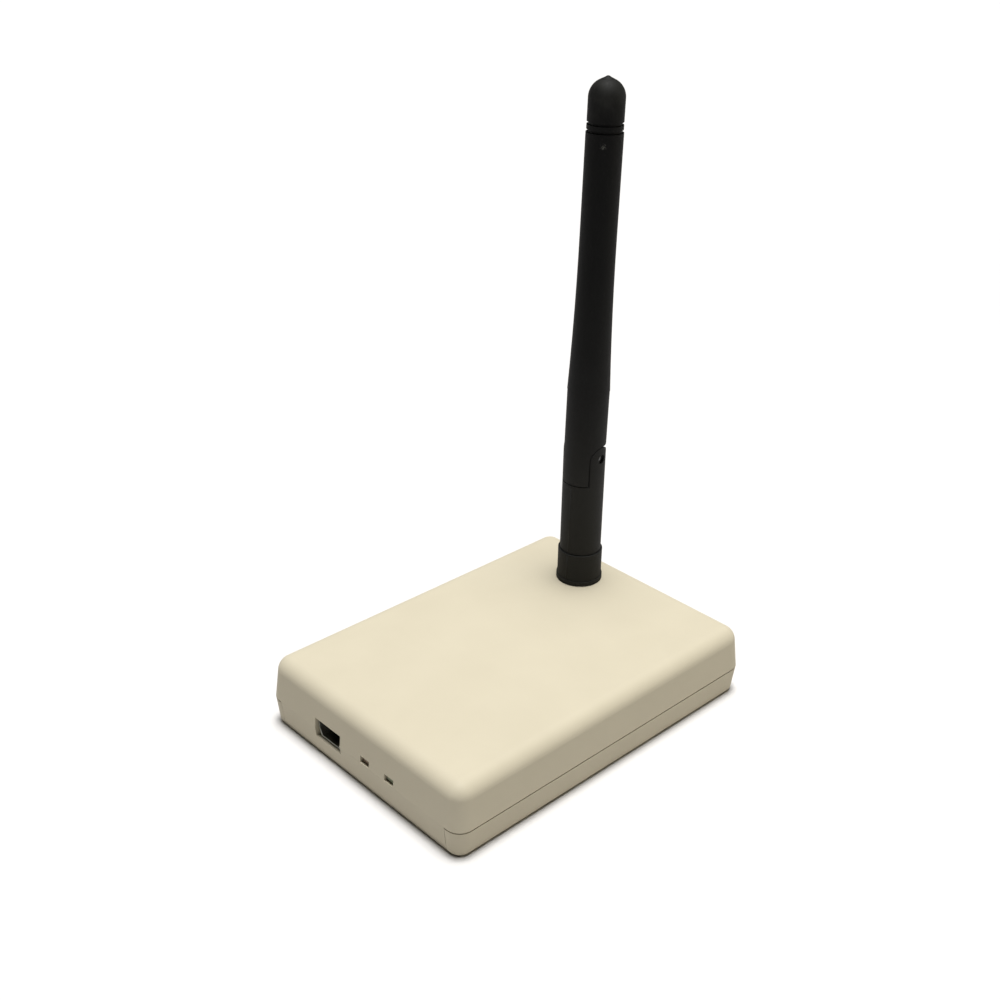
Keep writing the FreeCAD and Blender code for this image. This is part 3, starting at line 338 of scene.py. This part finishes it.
LOOKS = {
    # Warm cream ABS, dull enough that the rounded edges only glow softly. Its fine eroded grain
    # is drawn coarser than the real one so that it shows
    "case_plastic": moulded(
        "cream_moulded_abs", "bab29d", "b7af9a", 0.62, 0.35, 0.008, specular=0.2
    ),
    # Black thermoplastic, matt, with a soft grey sheen on its round sides
    "antenna_plastic": antenna_black(),
    # Socket insulator, deep black and slightly shiny
    "socket_plastic": moulded("black_socket_nylon", "0d0d0e", "121213", 0.42, 0.25, 0.006),
    # Holders of the two lights, dull black
    "holder_plastic": moulded("black_light_holder", "101011", "151515", 0.55, 0.25, 0.006),
    # Solder mask over the laminate, glossy green with the weave faintly under it
    "board_laminate": moulded("green_solder_mask", "1d5a33", "184d2b", 0.3, 0.5, 0.004),
    # Epoxy of the chips, dark grey with a sandy grain
    "chip_resin": moulded("chip_epoxy", "262627", "1e1e20", 0.6, 0.12, 0.008),
    # Moulded capacitor bodies, ochre
    "capacitor_resin": moulded("capacitor_epoxy", "c39235", "b78528", 0.5, 0.15, 0.006),
    # White fluoropolymer of the radio connectors, waxy
    "white_insulator": moulded("white_fluoropolymer", "efeeea", "e6e5df", 0.38, 0.6, 0.004),
    # Brown jacket of the thin coaxial lead
    "lead_jacket": moulded("brown_lead_jacket", "7a4a26", "6d4020", 0.35, 0.4, 0.004),
    # Unlit red diffused resin of a light, nearly brown in its window
    "red_resin": moulded("red_light_resin", "75604a", "665240", 0.4, 0.4, 0.002),
    # Unlit green diffused resin of a light, olive in its window
    "green_resin": moulded("green_light_resin", "6f745b", "62664c", 0.4, 0.4, 0.002),
    # Tin plate of the socket shell and of the radio's can, grey with soft streaks
    "tinned_steel": metal("tin_plate", "8f8e86", 0.42),
    # Zinc plate of the self-tapping screws, light grey and fairly bright
    "screw_steel": metal("zinc_plated_screw", "a9aaac", 0.28),
    # Drawn steel of the hinge pin, a bright dot in the fork's cheek
    "pin_steel": metal("drawn_steel_pin", "8f8f8f", 0.22),
    # Nickel lid of the crystal, pale and bright
    "crystal_lid_metal": metal("nickel_lid", "c2bfb4", 0.25),
    # Gold plate of the contacts, bright yellow
    "gold_plate": metal("gold_plate", "d9b45f", 0.22),
    # Gold flash over brass on the antenna connector, a deeper yellow
    "connector_brass": metal("gilt_brass_connector", "cfa85a", 0.26),
    # Plain turned brass of the coupling nut, duller than the gilt parts
    "nut_brass": metal("turned_brass_nut", "bd9c58", 0.3),
    # Bare copper wire of the radiator, reddish
    "radiator_copper": metal("copper_radiator", "b87449", 0.3),
}

slot_of = {}
for part in frame["record"]["subparts"]:
    slot_of[part["node"]] = part["material_slot"]
for name, cad in frame["nodes"].items():
    for slot in cad.material_slots:
        slot.material = LOOKS[slot_of[name]]


# Small pieces that stand on the solids


def object_from(name, shape, matrix, body, node):
    """A bmesh in millimetres, placed by a matrix, as a piece with the finish of a CAD node."""
    shape.transform(matrix @ Matrix.Diagonal((MM, MM, MM, 1)))
    bmesh.ops.recalc_face_normals(shape, faces=shape.faces)
    mesh = bpy.data.meshes.new(name)
    shape.to_mesh(mesh)
    shape.free()
    mesh.shade_smooth()
    mesh.materials.append(LOOKS[slot_of[node]])
    piece = bpy.data.objects.new(name, mesh)
    bpy.context.scene.collection.objects.link(piece)
    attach(piece, body)


def turned(profile, steps=32):
    """A closed bmesh from (radius, height) points that start and end on the axis."""
    shape = bmesh.new()
    low = shape.verts.new((0, 0, profile[0][1]))
    high = shape.verts.new((0, 0, profile[-1][1]))
    rings = []
    for radius, height in profile[1:-1]:
        rings.append([
            shape.verts.new((radius * math.cos(turn), radius * math.sin(turn), height))
            for turn in (2 * math.pi * step / steps for step in range(steps))
        ])
    for step in range(steps):
        after = (step + 1) % steps
        shape.faces.new((low, rings[0][after], rings[0][step]))
        shape.faces.new((high, rings[-1][step], rings[-1][after]))
        for inner, outer in zip(rings, rings[1:]):
            shape.faces.new((inner[step], inner[after], outer[after], outer[step]))
    return shape


def bead(radius, low, high, width=0.3, proud=0.06, sides=5):
    """A closed, half round ridge that runs up a cylinder of that radius, at its +X side."""
    shape = bmesh.new()
    section = [(-proud, -width / 2), (-proud, width / 2)] + [
        (
            proud * math.sin(math.pi * part / sides),
            width / 2 * math.cos(math.pi * part / sides),
        )
        for part in range(sides + 1)
    ]
    ends = [
        [shape.verts.new((radius + out, across, height)) for out, across in section]
        for height in (low, high)
    ]
    count = len(section)
    for index in range(count):
        after = (index + 1) % count
        shape.faces.new((ends[0][index], ends[0][after], ends[1][after], ends[1][index]))
    shape.faces.new(ends[0])
    shape.faces.new(ends[1])
    return shape


# Torn off gate mark on the tip of the antenna's end plug, a low cone with a blunt point
TIP_HEIGHT = 79.9
GATE_MARK = [
    (0, -0.5), (1.5, -0.5), (1.5, -0.32), (1.05, -0.09),
    (0.64, 0.1), (0.4, 0.26), (0.2, 0.35), (0, 0.38),
]
object_from(
    "gate_mark",
    turned(GATE_MARK),
    FOLDING @ Matrix.Translation((0, 0, TIP_HEIGHT * MM)),
    "antenna_blade",
    "antenna_cap",
)

# Fine lines that the two halves of the mould leave on the stub and on the sleeve, each from
# a low to a high place on the wall of that radius
STUB_RADIUS, STUB_LINE = 4.65, (24.3, 40.6)
SLEEVE_RADIUS, SLEEVE_LINE = 5.025, (17.4, 23.5)
for side, turn in (("front", SWIVEL_AT_REST + math.pi), ("rear", SWIVEL_AT_REST)):
    upright = Matrix.Translation(AXIS_FOOT) @ Matrix.Rotation(turn, 4, "Z")
    object_from(
        "stub_mould_line_" + side,
        bead(STUB_RADIUS, *STUB_LINE),
        upright,
        "antenna_base",
        "antenna_stub",
    )
    object_from(
        "sleeve_mould_line_" + side,
        bead(SLEEVE_RADIUS, *SLEEVE_LINE),
        upright,
        "case",
        "nut_sleeve",
    )


# The wire of the radiator, wound turn on turn where the solid is a plain sleeve

WIRE_RADIUS, WINDING_RADIUS, TURNS = 0.4, 2.3, 46.0
WINDING_FOOT, WINDING_TOP = 22.5, 63.45
STEPS_PER_TURN, WIRE_SIDES = 20, 8


def winding_tree():
    """Geometry nodes for a close-wound wire that stands on its lower end."""
    tree = bpy.data.node_groups.new("close_winding", "GeometryNodeTree")
    tree.interface.new_socket("Geometry", in_out="OUTPUT", socket_type="NodeSocketGeometry")
    sockets = {}
    for name, kind in (
        ("Turns", "NodeSocketFloat"),
        ("Coil radius", "NodeSocketFloat"),
        ("Coil height", "NodeSocketFloat"),
        ("Wire radius", "NodeSocketFloat"),
        ("Wire finish", "NodeSocketMaterial"),
    ):
        made = tree.interface.new_socket(name, in_out="INPUT", socket_type=kind)
        sockets[name] = made.identifier
    given = tree.nodes.new("NodeGroupInput").outputs
    spiral = add(
        tree,
        "GeometryNodeCurveSpiral",
        {
            "Resolution": STEPS_PER_TURN,
            "Rotations": given["Turns"],
            "Start Radius": given["Coil radius"],
            "End Radius": given["Coil radius"],
            "Height": given["Coil height"],
        },
    ).outputs["Curve"]
    section = add(
        tree,
        "GeometryNodeCurvePrimitiveCircle",
        {"Resolution": WIRE_SIDES, "Radius": given["Wire radius"]},
    ).outputs["Curve"]
    wire = add(
        tree,
        "GeometryNodeCurveToMesh",
        {"Curve": spiral, "Profile Curve": section, "Fill Caps": True},
    ).outputs["Mesh"]
    real = add(tree, "GeometryNodeRealizeInstances", {"Geometry": wire}).outputs["Geometry"]
    finished = add(
        tree, "GeometryNodeSetMaterial", {"Geometry": real, "Material": given["Wire finish"]}
    ).outputs["Geometry"]
    add(tree, "NodeGroupOutput", {"Geometry": finished})
    return tree, sockets


def plain_mesh(piece):
    """Turns a piece with a modifier into its evaluated mesh."""
    graph = bpy.context.evaluated_depsgraph_get()
    mesh = bpy.data.meshes.new_from_object(piece.evaluated_get(graph))
    mesh.name = piece.name
    piece.modifiers.clear()
    piece.data = mesh
    return mesh


winding = bpy.data.objects.new("radiator_winding", bpy.data.meshes.new("radiator_winding"))
bpy.context.scene.collection.objects.link(winding)
winder = winding.modifiers.new("winding", "NODES")
winder.node_group, sockets = winding_tree()
for name, amount in (
    ("Turns", TURNS),
    ("Coil radius", (WINDING_RADIUS - WIRE_RADIUS) * MM),
    ("Coil height", (WINDING_TOP - WINDING_FOOT - 2 * WIRE_RADIUS) * MM),
    ("Wire radius", WIRE_RADIUS * MM),
    ("Wire finish", LOOKS[slot_of["radiator_coil"]]),
):
    winder[sockets[name]] = amount
first_turn = Matrix.Translation((0, 0, (WINDING_FOOT + WIRE_RADIUS) * MM))
plain_mesh(winding).transform(FOLDING @ first_turn)
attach(winding, "antenna_blade")
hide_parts("radiator_coil")


# Camera, at the photograph's angle: place in millimetres, angles in degrees, and the focal
# length as a share of the picture's width

CAMERA_PLACE = Vector((-163.3697, -168.4226, 172.4673)) * MM
AZIMUTH, ELEVATION, ROLL = (math.radians(a) for a in (-43.4115, 27.6074, 0.8593))
FOCAL_SHARE = 1.318035
SENSOR_WIDTH = 36
NEAREST, FARTHEST = 0.01, 20

forward = Vector((
    -math.sin(AZIMUTH) * math.cos(ELEVATION),
    math.cos(AZIMUTH) * math.cos(ELEVATION),
    -math.sin(ELEVATION),
))
level_right = Vector((math.cos(AZIMUTH), math.sin(AZIMUTH), 0))
level_up = level_right.cross(forward)
right = math.cos(ROLL) * level_right + math.sin(ROLL) * level_up
up = -math.sin(ROLL) * level_right + math.cos(ROLL) * level_up

lens = bpy.data.cameras.new("camera")
lens.sensor_width = SENSOR_WIDTH
lens.lens = FOCAL_SHARE * SENSOR_WIDTH
lens.clip_start, lens.clip_end = NEAREST, FARTHEST
camera = bpy.data.objects.new("camera", lens)
facing = Matrix((right, up, -forward)).transposed().to_4x4()
camera.matrix_world = Matrix.Translation(CAMERA_PLACE) @ facing
bpy.context.scene.collection.objects.link(camera)
bpy.context.scene.camera = camera


# Pale floor that rises in a wide cove far behind. A ring of points just inside the cove keeps
# the smooth shading of the cove off the flat part

FLAT_RADIUS, COVE_RADIUS, RING_INSIDE = 3.5, 0.5, 0.1
COVE_STEPS, FLOOR_SIDES, SAME_POINT = 9, 72, 0.001
FLOOR_COLOUR = (0.605, 0.595, 0.585, 1)

outline = [(0, 0), (FLAT_RADIUS - RING_INSIDE, 0)]
for step in range(COVE_STEPS + 1):
    climb = math.pi / 2 * step / COVE_STEPS
    outline.append((
        FLAT_RADIUS + COVE_RADIUS * math.sin(climb),
        COVE_RADIUS * (1 - math.cos(climb)),
    ))
shape = bmesh.new()
points = [shape.verts.new((radius, 0, height)) for radius, height in outline]
strip = [shape.edges.new(pair) for pair in zip(points, points[1:])]
bmesh.ops.spin(
    shape,
    geom=points + strip,
    axis=(0, 0, 1),
    cent=(0, 0, 0),
    steps=FLOOR_SIDES,
    angle=2 * math.pi,
)
bmesh.ops.remove_doubles(shape, verts=shape.verts, dist=SAME_POINT)
bmesh.ops.recalc_face_normals(shape, faces=shape.faces)
floor_mesh = bpy.data.meshes.new("floor")
shape.to_mesh(floor_mesh)
shape.free()
floor_mesh.shade_smooth()
floor = bpy.data.objects.new("floor", floor_mesh)
bpy.context.scene.collection.objects.link(floor)
# Matt white paper, without any shine
paper, tree, _ = new_material("white_paper")
finish_material(
    tree, {"Base Color": FLOOR_COLOUR, "Roughness": 1.0, "Specular IOR Level": 0.0}
)
floor_mesh.materials.append(paper)


# Plain studio light: a wide soft light overhead and a dim, warm panel low in front of the
# long side, in an almost dark room

ROOM_STRENGTH = 0.02
OVERHEAD_STRENGTH, OVERHEAD_WIDTH, OVERHEAD_LEAN = 5.35, 24, 2
FILL_POWER, FILL_COLOUR, FILL_SIZE = 0.09, (1.0, 0.86, 0.5), (0.2, 0.15)
FILL_AIM, FILL_OFFSET = Vector((0.04, -0.03, 0.01)), Vector((0.18, -0.215, 0.1))

world = bpy.data.worlds.new("studio")
world.use_nodes = True
room = world.node_tree.nodes["Background"].inputs
room["Color"].default_value = (1, 1, 1, 1)
room["Strength"].default_value = ROOM_STRENGTH
bpy.context.scene.world = world

sun = bpy.data.lights.new("overhead", "SUN")
sun.energy = OVERHEAD_STRENGTH
sun.angle = math.radians(OVERHEAD_WIDTH)
overhead = bpy.data.objects.new("overhead", sun)
overhead.rotation_euler = (0, math.radians(OVERHEAD_LEAN), 0)
bpy.context.scene.collection.objects.link(overhead)

panel = bpy.data.lights.new("side_fill", "AREA")
panel.shape = "RECTANGLE"
panel.size, panel.size_y = FILL_SIZE
panel.energy = FILL_POWER
panel.color = FILL_COLOUR
side_fill = bpy.data.objects.new("side_fill", panel)
side_fill.location = FILL_AIM + FILL_OFFSET
side_fill.rotation_euler = (-FILL_OFFSET).to_track_quat("-Z", "Y").to_euler()
bpy.context.scene.collection.objects.link(side_fill)

bpy.context.scene.view_settings.view_transform = "Standard"
